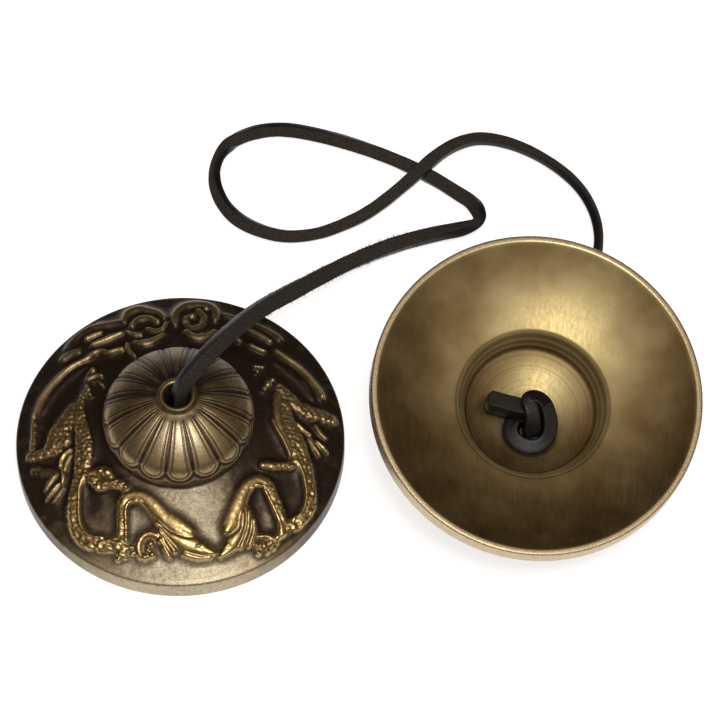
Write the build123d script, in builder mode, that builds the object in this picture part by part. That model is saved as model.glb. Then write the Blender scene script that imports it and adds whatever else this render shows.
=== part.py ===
from build123d import *
import os
from math import atan, atan2, cos, hypot, pi, radians, sin, sqrt, tan

# A pair of tingsha, the small hand cymbals: two equal brass castings joined by one leather thong.
# Millimetres, +Z up. The origin is on the table, midway between the two cymbals.
# The left cymbal stands on its rim. The right one lies on its boss, open side up, and leans.

os.makedirs("parts", exist_ok=True)

# Cymbal casting, in its own frame: rim plane at height 0, boss upwards
RIM_RADIUS = 32.5
RIM_HEIGHT = 4.5
RIM_LAND = 1.2
RIM_ROUND = 0.7
PLATE_THICKNESS = 4.5

# Boss: a dished end with a wide crown and a small knuckle, drawn in at its foot
BOSS_RADIUS = 14.9
BELT_HEIGHT = 13.8
KNUCKLE_RADIUS = 5.0
CROWN_RADIUS = 20.0
FOOT_ANGLE = radians(30)

# Cup under the boss: a shallow bowl, with the sloping lip at its mouth
BOWL_EDGE_RADIUS = 12.4
BOWL_CURVE = 29.0
LIP_WIDTH = 2.7
LIP_DEPTH = 4.8

# Hole for the thong, with the raised ring round it
HOLE_RADIUS = 2.6
RING_TUBE = 0.6

# Lotus petals on the boss. A round-bottomed groove runs down one side of each petal, round its
# end and up the other side, so that a thin ridge is left between each petal and the next.
PETAL_COUNT = 16
PETAL_TURN = 2.35
PETAL_GROOVE_RADIUS = 0.32
PETAL_RIDGE = 0.45
PETAL_START_GAP = 1.6
PETAL_SIDE_END = radians(8)
PETAL_TIP = radians(-19)

# Relief cast on the plate: two dragons face to face at the front and clouds at the back.
# Each roll is drawn in plan from the axis, as x, y and the roll's half width on the plate.
RELIEF_HEIGHT = 1.1
ROLL_END = 0.7
LEFT_DRAGON = {
    "body": [
        (-17.3, 13.2, 0.8),
        (-18.5, 9.6, 1.0),
        (-19.5, 4.2, 1.2),
        (-18.7, -2.0, 1.7),
        (-18.5, -7.6, 1.9),
        (-20.1, -14.0, 1.5),
        (-19.9, -19.6, 1.5),
        (-16.9, -23.5, 1.6),
        (-11.4, -24.5, 1.4),
    ],
    "haunch": [(-20.6, 5.2, 1.0), (-22.2, 1.8, 1.9), (-24.2, -1.8, 2.0), (-28.6, -4.9, 1.2)],
    "tail": [
        (-28.8, -2.4, 0.8),
        (-28.1, 5.6, 0.9),
        (-24.6, 11.6, 0.9),
        (-19.8, 15.4, 0.9),
        (-15.8, 17.5, 0.9),
        (-11.8, 17.3, 0.7),
    ],
    "neck": [(-10.6, -26.0, 0.9), (-10.9, -21.2, 1.0), (-10.7, -17.4, 1.0)],
    "nape and head": [
        (-10.0, -16.0, 1.0),
        (-7.6, -15.7, 1.3),
        (-4.6, -17.7, 1.7),
        (-0.6, -21.8, 2.0),
        (3.2, -24.2, 1.7),
        (7.0, -25.8, 0.7),
    ],
    "curled claw": [(-7.4, -26.2, 0.9), (-6.5, -23.8, 1.0), (-3.9, -23.3, 0.9)],
    "foot": [(-17.8, -10.4, 1.1), (-15.4, -11.6, 1.6), (-13.2, -12.2, 1.3), (-10.4, -13.7, 0.9)],
    "fore claw": [(-20.8, -4.8, 0.8), (-22.6, -7.0, 0.9), (-23.0, -10.8, 0.8), (-25.7, -14.5, 0.6)],
}
RIGHT_DRAGON = {
    "body": [
        (17.2, 9.3, 0.9),
        (20.2, 6.2, 1.4),
        (21.4, 0.8, 1.8),
        (23.2, -4.5, 2.0),
        (25.2, -10.5, 1.6),
        (25.3, -16.2, 1.4),
        (23.6, -19.0, 1.5),
        (20.4, -20.6, 1.3),
    ],
    "leg": [(29.6, 3.4, 1.1), (26.2, 4.2, 1.7), (22.2, 5.6, 1.3)],
    "tail": [(28.0, 7.6, 0.8), (25.8, 11.8, 0.9), (20.2, 16.8, 0.9), (16.6, 17.6, 0.8), (13.4, 18.9, 0.7)],
    "neck and head": [
        (20.2, -21.8, 0.9),
        (19.4, -17.0, 1.2),
        (17.2, -12.5, 1.4),
        (14.6, -12.3, 1.4),
        (12.4, -15.2, 1.7),
        (10.4, -20.8, 2.0),
        (9.6, -23.8, 1.6),
        (8.3, -26.0, 0.7),
    ],
    "mane": [(13.0, -17.4, 1.0), (13.2, -21.0, 1.6), (12.2, -25.2, 1.0)],
    "arm": [(16.2, -8.8, 0.9), (19.2, -8.6, 1.0), (22.6, -7.4, 1.0)],
    "curled claw": [(15.4, -25.8, 0.8), (16.8, -24.0, 1.2), (19.6, -22.4, 0.8)],
    "fore claw": [(22.8, 1.2, 0.6), (25.6, -1.0, 0.8), (29.0, -4.1, 0.6)],
}
CLOUDS = {
    "left lobe": [(-11.6, 25.2, 0.9), (-10.4, 28.2, 1.1), (-6.8, 28.2, 1.1), (-3.6, 25.6, 0.9)],
    "left curl": [(-9.9, 23.6, 0.9), (-7.8, 25.6, 1.0), (-5.0, 24.4, 0.8)],
    "left foot": [(-9.2, 19.0, 0.8), (-6.4, 18.8, 1.0), (-3.4, 20.8, 0.7)],
    "right lobe": [(-1.3, 23.8, 0.8), (-0.6, 28.4, 1.1), (4.6, 29.4, 1.1), (6.6, 25.4, 0.8)],
    "right curl": [(3.9, 27.4, 0.9), (3.8, 24.4, 1.0), (1.2, 23.2, 0.9)],
    "right foot": [(0.9, 21.7, 0.7), (3.4, 20.2, 1.0), (6.6, 21.8, 0.7)],
    "left bank": [(-22.8, 19.8, 0.8), (-18.6, 24.2, 1.0), (-12.8, 25.4, 0.8)],
    "left wisp": [(-17.6, 19.7, 0.7), (-14.8, 20.8, 0.8), (-11.8, 22.0, 0.6)],
    "right bank": [(8.6, 27.0, 0.8), (13.6, 25.0, 1.0), (19.4, 21.8, 0.8)],
    "right wisp": [(12.8, 23.4, 0.7), (15.4, 22.0, 0.8), (17.6, 20.6, 0.6)],
    "small wisp": [(8.2, 23.0, 0.6), (9.8, 21.0, 0.8), (11.6, 19.6, 0.6)],
}

# Thong and its knots
THONG_DIAMETER = 2.4
THONG_LIFT = 0.05
THONG_CLEARANCE = 0.3
KNOT_TURN_RADIUS = 2.9
KNOT_CORE_RADIUS = 2.8
KNOT_TILT = 60
KNOT_SHIFT = 1.5
TAIL_REACH = 9.3
TAIL_DROP = 17
LEFT_TAIL_HEADING = 60
RIGHT_TAIL_HEADING = -152

# How the pair lies
PAIR_GAP = 5.0
RIGHT_SETBACK = -0.6
RIGHT_TILT = radians(12.8)
RIGHT_LEAN = radians(-64)

# Worked out from the sizes above
thong_radius = THONG_DIAMETER / 2
knuckle_centre_radius = BOSS_RADIUS - KNUCKLE_RADIUS
crown_centre_height = BELT_HEIGHT - sqrt((CROWN_RADIUS - KNUCKLE_RADIUS) ** 2 - knuckle_centre_radius**2)
crown_slope = Vector(knuckle_centre_radius, BELT_HEIGHT - crown_centre_height).normalized()
foot_radius = knuckle_centre_radius + KNUCKLE_RADIUS * cos(FOOT_ANGLE)
foot_height = BELT_HEIGHT - KNUCKLE_RADIUS * sin(FOOT_ANGLE)
lip_radius = BOWL_EDGE_RADIUS + LIP_WIDTH
plate_slope = (foot_height - RIM_HEIGHT) / (RIM_RADIUS - foot_radius)
dish_depth = RIM_HEIGHT + plate_slope * (RIM_RADIUS - lip_radius) - PLATE_THICKNESS
bowl_edge_height = dish_depth + LIP_DEPTH
bowl_centre_height = bowl_edge_height - sqrt(BOWL_CURVE**2 - BOWL_EDGE_RADIUS**2)
ring_radius = HOLE_RADIUS + RING_TUBE


def crown_height(radius):
    """Height of the boss's crown at a distance from the axis."""
    return crown_centre_height + sqrt(CROWN_RADIUS**2 - radius**2)


def bowl_height(radius):
    """Height of the cup's bowl at a distance from the axis."""
    return bowl_centre_height + sqrt(BOWL_CURVE**2 - radius**2)


def knuckle_point(angle):
    """A point on the knuckle, by its angle above the belt."""
    return knuckle_centre_radius + KNUCKLE_RADIUS * cos(angle), BELT_HEIGHT + KNUCKLE_RADIUS * sin(angle)


def crown_middle(inner_radius):
    """A point about halfway along the crown's arc."""
    radius = (inner_radius + crown_end[0]) / 2
    return radius, crown_height(radius)


crown_end = (crown_slope.X * CROWN_RADIUS, crown_centre_height + crown_slope.Y * CROWN_RADIUS)
crown_angle = atan2(crown_slope.Y, crown_slope.X)
ring_foot_radius = ring_radius + RING_TUBE
ring_foot_height = crown_height(ring_foot_radius)
mouth_height = ring_foot_height + RING_TUBE

# The groove round one petal, drawn with the petal's middle at azimuth 0
petal_half_angle = pi / PETAL_COUNT
groove_inset = PETAL_RIDGE / 2 + PETAL_GROOVE_RADIUS


def beside_petal(point, side):
    """A point of the boss's outline, moved to one side of the petal and in by the groove's inset."""
    across = groove_inset * cos(petal_half_angle) - point[0] * sin(petal_half_angle)
    along = point[0] * cos(petal_half_angle) + groove_inset * sin(petal_half_angle)
    return Vector(along, side * across, point[1])


with BuildPart() as petal_groove:
    start_radius = ring_foot_radius + PETAL_START_GAP
    start = (start_radius, crown_height(start_radius))
    knuckle_middle = knuckle_point((crown_angle + PETAL_SIDE_END) / 2)
    side_end = knuckle_point(PETAL_SIDE_END)
    tip = knuckle_point(PETAL_TIP)
    with BuildLine() as groove_line:
        outline = [start, crown_middle(start_radius), crown_end, knuckle_middle, side_end]
        near = [beside_petal(point, 1) for point in outline]
        far = [beside_petal(point, -1) for point in outline]
        ThreePointArc(near[0], near[1], near[2])
        down = ThreePointArc(near[2], near[3], near[4])
        up = ThreePointArc(far[4], far[3], far[2])
        Spline(near[4], Vector(tip[0], 0, tip[1]), far[4], tangents=[down % 1, up % 0])
        ThreePointArc(far[2], far[1], far[0])
    groove_path = groove_line.wire()
    with BuildSketch(Plane(origin=groove_path @ 0, z_dir=groove_path % 0)):
        Circle(PETAL_GROOVE_RADIUS)
    sweep(path=groove_path)



def plate_point(x, y, lift):
    """A point above the plate's slope, or below it where the lift is negative."""
    radius = hypot(x, y)
    slope_angle = atan(plate_slope)
    outwards = lift * sin(slope_angle) / radius
    height = RIM_HEIGHT + plate_slope * (RIM_RADIUS - radius)
    return Vector(x + x * outwards, y + y * outwards, height + lift * cos(slope_angle))


def relief_roll(points):
    """A roll that follows the plate, lofted through circles sunk so far that each has its width there."""
    radii = [(width**2 + RELIEF_HEIGHT**2) / (2 * RELIEF_HEIGHT) for x, y, width in points]
    centres = [plate_point(x, y, RELIEF_HEIGHT - radius) for (x, y, width), radius in zip(points, radii)]
    line = Spline(*centres)
    marks = [line.param_at_point(centre) for centre in centres]
    between = [(mark + after) / 2 for mark, after in zip(marks, marks[1:])]
    between_radii = [(radius + after) / 2 for radius, after in zip(radii, radii[1:])]
    stations = sorted(zip(marks + between, radii + between_radii))
    sections = [(line @ mark, line % mark, radius) for mark, radius in stations]
    start, start_way, start_radius = sections[0]
    end, end_way, end_radius = sections[-1]
    sections.insert(0, (start - start_way * (ROLL_END * start_radius), start_way, start_radius / 2))
    sections.append((end + end_way * (ROLL_END * end_radius), end_way, end_radius / 2))
    with BuildPart() as roll:
        for centre, way, radius in sections:
            with BuildSketch(Plane(origin=centre, x_dir=(0, 0, 1), z_dir=way)):
                Circle(radius)
        loft()
    return roll.part


# The casting: one turned section, then the relief and the grooves round the petals
with BuildPart() as casting:
    with BuildSketch(Plane.XZ) as section:
        with BuildLine():
            Line((RIM_RADIUS - RIM_LAND, 0), (RIM_RADIUS, 0))
            Line((RIM_RADIUS, 0), (RIM_RADIUS, RIM_HEIGHT))
            Line((RIM_RADIUS, RIM_HEIGHT), (foot_radius, foot_height))
            ThreePointArc((foot_radius, foot_height), (BOSS_RADIUS, BELT_HEIGHT), crown_end)
            ring_foot = (ring_foot_radius, ring_foot_height)
            ThreePointArc(crown_end, crown_middle(ring_foot_radius), ring_foot)
            hole_top = (HOLE_RADIUS, ring_foot_height)
            ThreePointArc(ring_foot, (ring_radius, mouth_height), hole_top)
            hole_end = (HOLE_RADIUS, bowl_height(HOLE_RADIUS))
            Line(hole_top, hole_end)
            bowl_middle = (BOWL_EDGE_RADIUS / 2, bowl_height(BOWL_EDGE_RADIUS / 2))
            ThreePointArc(hole_end, bowl_middle, (BOWL_EDGE_RADIUS, bowl_edge_height))
            Line((BOWL_EDGE_RADIUS, bowl_edge_height), (lip_radius, dish_depth))
            Line((lip_radius, dish_depth), (RIM_RADIUS - RIM_LAND, 0))
        make_face()
        rim_corner = section.vertices().group_by(Axis.X)[-1].sort_by(Axis.Y)[-1]
        fillet(rim_corner, radius=RIM_ROUND)
    revolve(axis=Axis.Z)
    for figure in (LEFT_DRAGON, RIGHT_DRAGON, CLOUDS):
        add([relief_roll(points) for points in figure.values()])
    with PolarLocations(0, PETAL_COUNT, start_angle=PETAL_TURN):
        add(petal_groove.part, mode=Mode.SUBTRACT)

# How each cymbal lies. The right one is propped on the thong that leaves under its boss.
centre_distance = RIM_RADIUS + PAIR_GAP / 2
left_plane = Plane(origin=(-centre_distance, 0, 0), x_dir=(1, 0, 0), z_dir=(0, 0, 1))
lean = Vector(sin(RIGHT_TILT) * cos(RIGHT_LEAN), sin(RIGHT_TILT) * sin(RIGHT_LEAN), cos(RIGHT_TILT))
thong_height = THONG_LIFT + thong_radius
right_mouth_rise = thong_height + thong_radius + THONG_CLEARANCE - ring_radius * sin(RIGHT_TILT)
right_rise = right_mouth_rise + mouth_height * cos(RIGHT_TILT)
right_plane = Plane(origin=(centre_distance, RIGHT_SETBACK, right_rise), x_dir=(1, 0, 0), z_dir=lean * -1)

with BuildPart() as left_cymbal:
    with Locations(left_plane):
        add(casting.part)
left_cymbal.part.label = "left_cymbal"
export_step(left_cymbal.part, "parts/left_cymbal.step")

with BuildPart() as right_cymbal:
    with Locations(right_plane):
        add(casting.part)
right_cymbal.part.label = "right_cymbal"
export_step(right_cymbal.part, "parts/right_cymbal.step")


# Knots: two crossing turns round a core, the neck that goes into the hole, and the cut tail.
# The turns lie a little to one side of the hole.
knot_outer_radius = KNOT_SHIFT + KNOT_TURN_RADIUS + thong_radius
knot_height = bowl_height(knot_outer_radius) - THONG_CLEARANCE - thong_radius
tilted_reach = KNOT_TURN_RADIUS * sin(radians(KNOT_TILT)) + thong_radius
tilted_height = bowl_height(knot_outer_radius) - THONG_CLEARANCE - tilted_reach
neck_top = bowl_height(HOLE_RADIUS)
tail_length = TAIL_REACH / cos(radians(TAIL_DROP))


def tied_end(tail_heading):
    """Neck, knot and tail in the cymbal's own frame, with the tail turned to its heading."""
    with BuildPart() as knot:
        low = (Align.CENTER, Align.CENTER, Align.MIN)
        with Locations(Location((0, 0, 0), (0, 0, tail_heading))):
            with Locations((0, -KNOT_SHIFT, tilted_height)):
                Sphere(KNOT_CORE_RADIUS)
                Torus(KNOT_TURN_RADIUS, thong_radius, rotation=(KNOT_TILT, 0, 0))
                Cylinder(thong_radius, tail_length, rotation=(0, 90 + TAIL_DROP, 0), align=low)
            with Locations((0, -KNOT_SHIFT, knot_height)):
                Torus(KNOT_TURN_RADIUS, thong_radius)
            with Locations((0, 0, tilted_height)):
                Cylinder(thong_radius, neck_top - tilted_height, align=low)
    return knot.part


with BuildPart() as left_knot:
    with Locations(left_plane):
        add(tied_end(LEFT_TAIL_HEADING))
left_knot.part.label = "left_knot"
export_step(left_knot.part, "parts/left_knot.step")

with BuildPart() as right_knot:
    with Locations(right_plane):
        add(tied_end(RIGHT_TAIL_HEADING))
right_knot.part.label = "right_knot"
export_step(right_knot.part, "parts/right_knot.step")

# Route of the thong's centre line. It leaves the left boss, arches down over the rim to the table,
# folds back, makes the loop, crosses over itself and goes under the right cymbal to its boss.
ON_TABLE = thong_height
OVER = thong_height + THONG_DIAMETER + 0.5
left_neck_end = left_plane.from_local_coords(Vector(0, 0, neck_top))
left_exit = left_plane.from_local_coords(Vector(0, 0, mouth_height + 1.0))
right_neck_end = right_plane.from_local_coords(Vector(0, 0, neck_top))
right_drop = (right_mouth_rise - thong_height) / cos(RIGHT_TILT)
right_exit = right_plane.from_local_coords(Vector(0, 0, mouth_height + right_drop))

LEFT_BEND = [
    (-31.6, 3.2, 27.2),
    (-27.2, 8.2, 28.0),
]
FREE_RUN = [
    (-23.2, 14.0, 25.4),
    (-19.0, 21.0, 20.4),
    (-13.7, 28.1, 14.5),
    (-7.0, 35.7, 8.5),
    (-1.0, 41.1, 4.5),
    (7.7, 46.5, 2.0),
    (16.4, 49.4, ON_TABLE),
    (21.6, 50.4, ON_TABLE),
    (25.7, 52.5, ON_TABLE),
    (24.5, 57.0, ON_TABLE),
    (20.6, 59.4, ON_TABLE),
    (14.7, 63.3, ON_TABLE),
    (4.9, 68.4, ON_TABLE),
    (-6.9, 72.5, ON_TABLE),
    (-17.6, 74.2, ON_TABLE),
    (-26.7, 70.8, ON_TABLE),
    (-29.3, 62.8, ON_TABLE),
    (-25.6, 53.9, ON_TABLE),
    (-16.6, 49.0, ON_TABLE),
    (-8.8, 49.1, ON_TABLE),
    (-2.9, 51.1, 1.7),
    (3.0, 53.8, 3.2),
    (11.0, 60.2, OVER),
    (16.4, 66.0, OVER),
    (20.9, 70.2, 2.2),
    (26.1, 72.1, ON_TABLE),
    (33.9, 69.9, ON_TABLE),
    (41.8, 64.5, ON_TABLE),
    (46.6, 58.2, ON_TABLE),
    (49.1, 50.4, ON_TABLE),
    (48.4, 42.0, ON_TABLE),
    (44.6, 33.0, ON_TABLE),
    (39.6, 24.6, ON_TABLE),
    (34.2, 17.2, ON_TABLE),
]
RIGHT_BEND = [
    (31.0, 11.4, ON_TABLE),
    (30.9, 7.9, ON_TABLE),
]
ROUTE = [Vector(*left_neck_end), Vector(*left_exit)]
ROUTE += [Vector(*point) for point in LEFT_BEND + FREE_RUN + RIGHT_BEND]
ROUTE += [Vector(*right_exit), Vector(*right_neck_end)]
ARC_SHARE = 0.45


def arc_radius(before, corner, after):
    """The largest arc that the two runs at a corner leave room for."""
    run_in = corner - before
    run_out = after - corner
    turn = radians(run_in.get_angle(run_out))
    return ARC_SHARE * min(run_in.length, run_out.length) / tan(turn / 2)


ARC_RADII = [arc_radius(*corner) for corner in zip(ROUTE, ROUTE[1:], ROUTE[2:])]
print("thong radii", [round(radius, 1) for radius in ARC_RADII])


def stretch(first, last):
    """Points and radii of the route from the middle of one run to the middle of another."""
    points = ROUTE[first : last + 1]
    if first > 0:
        points = [(ROUTE[first - 1] + ROUTE[first]) * 0.5] + points
        first -= 1
    if last < len(ROUTE) - 1:
        points = points + [(ROUTE[last] + ROUTE[last + 1]) * 0.5]
        last += 1
    return points, ARC_RADII[first : last - 1]


def thong_tube(points, radii, name):
    """A round tube along straight runs joined by tangent arcs."""
    with BuildPart() as tube:
        with BuildLine() as path:
            FilletPolyline(*points, radius=radii)
        with BuildSketch(Plane(origin=path.line @ 0, z_dir=path.line % 0)):
            Circle(thong_radius)
        sweep()
    length = path.wire().length
    share = tube.part.volume / (pi * thong_radius**2 * length)
    print(name, "length", round(length, 1), "volume over section times length", round(share, 4))
    tube.part.label = name
    return tube.part


left_bend_last = 1 + len(LEFT_BEND)
free_last = left_bend_last + len(FREE_RUN)

with BuildPart() as left_thong_bend:
    add(thong_tube(*stretch(0, left_bend_last), "left_thong_bend"))
left_thong_bend.part.label = "left_thong_bend"
export_step(left_thong_bend.part, "parts/left_thong_bend.step")

with BuildPart() as thong:
    add(thong_tube(*stretch(left_bend_last + 1, free_last), "thong"))
thong.part.label = "thong"
export_step(thong.part, "parts/thong.step")

with BuildPart() as right_thong_bend:
    add(thong_tube(*stretch(free_last + 1, len(ROUTE) - 1), "right_thong_bend"))
right_thong_bend.part.label = "right_thong_bend"
export_step(right_thong_bend.part, "parts/right_thong_bend.step")
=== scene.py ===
# %% [markdown]
# # A pair of tingsha
# Two small cast brass cymbals hang on one leather thong. One lies boss up and shows its carved
# outside, the other lies boss down and shows its turned inside. The thong goes through a hole in
# each boss and is stopped there by a knot.

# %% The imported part
import math

import bpy
import numpy as np
from mathutils import Matrix, Vector


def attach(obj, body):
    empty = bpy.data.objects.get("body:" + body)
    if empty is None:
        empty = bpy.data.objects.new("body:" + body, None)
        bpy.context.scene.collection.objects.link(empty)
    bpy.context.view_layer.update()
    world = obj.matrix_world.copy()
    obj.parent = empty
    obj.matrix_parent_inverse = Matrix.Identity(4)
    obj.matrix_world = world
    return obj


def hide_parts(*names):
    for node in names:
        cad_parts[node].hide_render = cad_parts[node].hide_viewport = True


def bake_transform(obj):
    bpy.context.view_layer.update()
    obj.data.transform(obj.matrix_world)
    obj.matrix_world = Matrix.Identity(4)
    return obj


MM = 0.001
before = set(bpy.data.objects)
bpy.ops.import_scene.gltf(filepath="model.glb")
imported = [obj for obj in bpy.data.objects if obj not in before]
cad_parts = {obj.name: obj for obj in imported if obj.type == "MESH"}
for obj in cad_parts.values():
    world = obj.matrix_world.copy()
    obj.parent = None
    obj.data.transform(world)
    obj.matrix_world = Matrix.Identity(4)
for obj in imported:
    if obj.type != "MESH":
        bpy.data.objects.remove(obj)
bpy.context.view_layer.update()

# %% [markdown]
# ## The camera
# The photo was taken from well above the table with a long lens. The rims' ellipses give the height
# of the view, and the two bosses the place it looks at.

# %% The camera
VIEW_ANGLE = math.radians(60.786)
VIEW_DISTANCE = 0.905
LOOK_AT = Vector((0.000554, 0.020469, 0))
SENSOR_WIDTH = 36
LENS = 225.2
back = Vector((0, -math.cos(VIEW_ANGLE), math.sin(VIEW_ANGLE)))
bpy.ops.object.select_all(action="DESELECT")
bpy.ops.object.camera_add(location=LOOK_AT + VIEW_DISTANCE * back,
                          rotation=(math.pi / 2 - VIEW_ANGLE, 0, 0))
camera = bpy.context.object
camera.data.sensor_width = SENSOR_WIDTH
camera.data.lens = LENS
bpy.context.scene.camera = camera
bpy.context.scene.view_settings.view_transform = "Standard"
print("the camera stands at", [round(x, 3) for x in camera.location])

# %% [markdown]
# ## The table and the light
# The pair lies on a plain white table. The brass shows what it mirrors, so the light matters as much
# as the finish: a soft light hangs overhead and a little to the front, and the room behind is dim.
# That is why the plates are bright in front and brown at the back.

# %% Tools for mixing a finish
def node(tree, kind, sockets=(), **settings):
    """A node with its settings and the plain values of its sockets."""
    made = tree.nodes.new(kind)
    for key, value in settings.items():
        setattr(made, key, value)
    for key, value in dict(sockets).items():
        made.inputs[key].default_value = value
    return made


def clean_tree(material):
    """An empty node tree with one surface in it."""
    material.use_nodes = True
    tree = material.node_tree
    tree.nodes.clear()
    surface = node(tree, "ShaderNodeBsdfPrincipled")
    tree.links.new(surface.outputs["BSDF"], node(tree, "ShaderNodeOutputMaterial").inputs["Surface"])
    return tree, surface


def noted(tree, label):
    """What was noted for each point of the piece."""
    return node(tree, "ShaderNodeAttribute", attribute_name=label).outputs["Fac"]


def mottle(tree, scale, detail, coordinate=None):
    """A cloudy pattern fixed to the piece."""
    source = node(tree, "ShaderNodeTexNoise", {"Scale": scale, "Detail": detail})
    if coordinate is None:
        coordinate = node(tree, "ShaderNodeTexCoord").outputs["Object"]
    tree.links.new(coordinate, source.inputs["Vector"])
    return source.outputs["Fac"]


def stretch(tree, value, low, high, to_low=0.0, to_high=1.0):
    """Maps a value from one span to another."""
    spans = {"From Min": low, "From Max": high, "To Min": to_low, "To Max": to_high}
    made = node(tree, "ShaderNodeMapRange", spans, clamp=True)
    tree.links.new(value, made.inputs["Value"])
    return made.outputs["Result"]


def mixed(tree, share, first_colour, second_colour):
    """A colour between two, either of which may be a plain colour or a node's output."""
    made = node(tree, "ShaderNodeMix", data_type="RGBA")
    tree.links.new(share, made.inputs["Factor"])
    for socket, colour in ((made.inputs[6], first_colour), (made.inputs[7], second_colour)):
        if isinstance(colour, tuple):
            socket.default_value = (*colour, 1)
        else:
            tree.links.new(colour, socket)
    return made.outputs[2]


def reckon(tree, operation, *values):
    """A sum or a product of numbers and node outputs."""
    made = node(tree, "ShaderNodeMath", operation=operation, use_clamp=operation == "ADD")
    for socket, value in zip(made.inputs, values):
        if isinstance(value, (int, float)):
            socket.default_value = value
        else:
            tree.links.new(value, socket)
    return made.outputs[0]


def rough_up(tree, surface, value, strength, depth):
    """Lets a pattern stand out of a surface."""
    bump = node(tree, "ShaderNodeBump", {"Strength": strength, "Distance": depth})
    tree.links.new(value, bump.inputs["Height"])
    tree.links.new(bump.outputs["Normal"], surface.inputs["Normal"])


print("the mixing tools lie ready")

# %% The table
TABLE_SIZE = 8
TABLE_TOP = -0.00005
TABLE_WHITE = 0.93
# The camera and the mirroring brass see the table lifted to white, and the shadow stays in it.
TABLE_LIFT = 0.72
bpy.ops.mesh.primitive_plane_add(size=TABLE_SIZE, location=(0, 0, TABLE_TOP))
table = bpy.context.object
table.name = "table"
white = bpy.data.materials.new("white_table")
tree, paint = clean_tree(white)
paint.inputs["Base Color"].default_value = (TABLE_WHITE, TABLE_WHITE, TABLE_WHITE, 1)
paint.inputs["Roughness"].default_value = 0.9
paint.inputs["Specular IOR Level"].default_value = 0.1
paint.inputs["Emission Color"].default_value = (1, 1, 1, 1)
ray = node(tree, "ShaderNodeLightPath")
lift = 0
for kind in ("Is Camera Ray", "Is Glossy Ray", "Is Transmission Ray"):
    lift = reckon(tree, "MULTIPLY_ADD", ray.outputs[kind], TABLE_LIFT, lift)
tree.links.new(lift, paint.inputs["Emission Strength"])
table.data.materials.append(white)
print("the table is made")

# %% The light
LIGHT_FROM = Vector((0.10, -0.30, 0.95)).normalized()
LIGHT_DISTANCE = 1.3
LIGHT_SIZE = 0.36
LIGHT_POWER = 4.2
# How bright the room is, from away from the light to toward it. Where it is dim it is also browner.
ROOM = ((0.20, 0.025), (0.45, 0.04), (0.58, 0.09), (0.70, 0.21), (0.80, 0.37), (0.90, 0.60),
        (1.0, 0.95))
DIM_TINT = np.array((1.25, 0.85, 0.65))
world = bpy.data.worlds.new("room")
bpy.context.scene.world = world
world.use_nodes = True
room = world.node_tree
toward = node(room, "ShaderNodeTexCoord")
facing_light = node(room, "ShaderNodeVectorMath", {1: LIGHT_FROM}, operation="DOT_PRODUCT")
glow = node(room, "ShaderNodeValToRGB")
for place, _ in ROOM[1:-1]:
    glow.color_ramp.elements.new(place)
for stop, (place, level) in zip(glow.color_ramp.elements, ROOM):
    stop.position = place
    stop.color = (*(level * (level + (1 - level) * DIM_TINT)), 1)
room.links.new(toward.outputs["Generated"], facing_light.inputs[0])
room.links.new(facing_light.outputs["Value"], glow.inputs["Fac"])
room.links.new(glow.outputs["Color"], room.nodes["Background"].inputs["Color"])
room.nodes["Background"].inputs["Strength"].default_value = 1.0

bpy.ops.object.light_add(type="AREA", location=LIGHT_FROM * LIGHT_DISTANCE)
lamp = bpy.context.object
lamp.name = "soft_light"
lamp.rotation_euler = LIGHT_FROM.to_track_quat("Z", "Y").to_euler()
lamp.data.shape = "DISK"
lamp.data.size = LIGHT_SIZE
lamp.data.energy = LIGHT_POWER
print("the light is hung")

# %% [markdown]
# ## The thong's route
# The thong is one leather lace. From the knot in the left boss it rises out of the hole, comes down
# to the table behind the left cymbal, folds back, makes one wide loop that crosses over itself, and
# arches down under the right cymbal to its hole. The line is drawn with as few points as its bends
# need.

# %% The thong's route
LEFT_HOLE = (-35.0, 0.0, 13.94)
RIGHT_HOLE = (33.646, 2.177, 10.645)
ROUTE = [
    LEFT_HOLE, (-35, 0, 23.77), (-31.6, 3.2, 27.2), (-27.2, 8.2, 28),
    (-23.2, 14, 25.4), (-18.9, 20.8, 20.4), (-13.5, 27.6, 14.5), (-6.8, 35.2, 8.5),
    (-1, 40.9, 4.5), (7.7, 46.3, 2.1), (16.4, 49, 1.9), (21.8, 50, 1.95),
    (25.5, 52, 1.9), (24.1, 56.1, 1.7), (20.4, 59, 1.3), (14.7, 63.3, 1.1),
    (4.9, 68.4, 1.4), (-6.9, 72.6, 1.65), (-17.7, 74.7, 1.65), (-27.1, 71.1, 1.65),
    (-30.2, 62.6, 1.65), (-26.2, 53, 1.6), (-16.7, 48.3, 1.45), (-8.8, 48.8, 1.3),
    (-2.9, 51, 1.7), (3, 53.8, 2.6), (10.7, 60.6, 3.4), (16, 66.5, 3.4),
    (20.7, 70.7, 2), (26.1, 72.5, 1.25), (34, 70.2, 1.25), (42, 64.7, 1.25),
    (47, 58.5, 1.25), (49.5, 50.5, 1.25), (48.6, 42, 1.25), (44.6, 33, 1.25),
    (39.6, 24.6, 1.25), (34.2, 17.2, 1.25), (31, 11.4, 1.25), (30.9, 7.9, 1.25),
    (32.71, 4.09, 1.25), RIGHT_HOLE,
]


def drawn_line(name, points):
    """The smooth line that a chain of points pulls into shape, read as many close points."""
    drawing = bpy.data.curves.new(name, "CURVE")
    drawing.dimensions = "3D"
    drawing.resolution_u = 24
    spline = drawing.splines.new("NURBS")
    spline.points.add(len(points) - 1)
    for spot, (x, y, z) in zip(spline.points, points):
        spot.co = (x * MM, y * MM, z * MM, 1)
    spline.order_u = 3
    spline.use_endpoint_u = True
    holder = bpy.data.objects.new(name, drawing)
    bpy.context.scene.collection.objects.link(holder)
    bpy.context.view_layer.update()
    seen = holder.evaluated_get(bpy.context.evaluated_depsgraph_get())
    read = bpy.data.meshes.new_from_object(seen)
    line = np.array([v.co for v in read.vertices])
    bpy.data.objects.remove(holder)
    bpy.data.meshes.remove(read)
    return line


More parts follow.
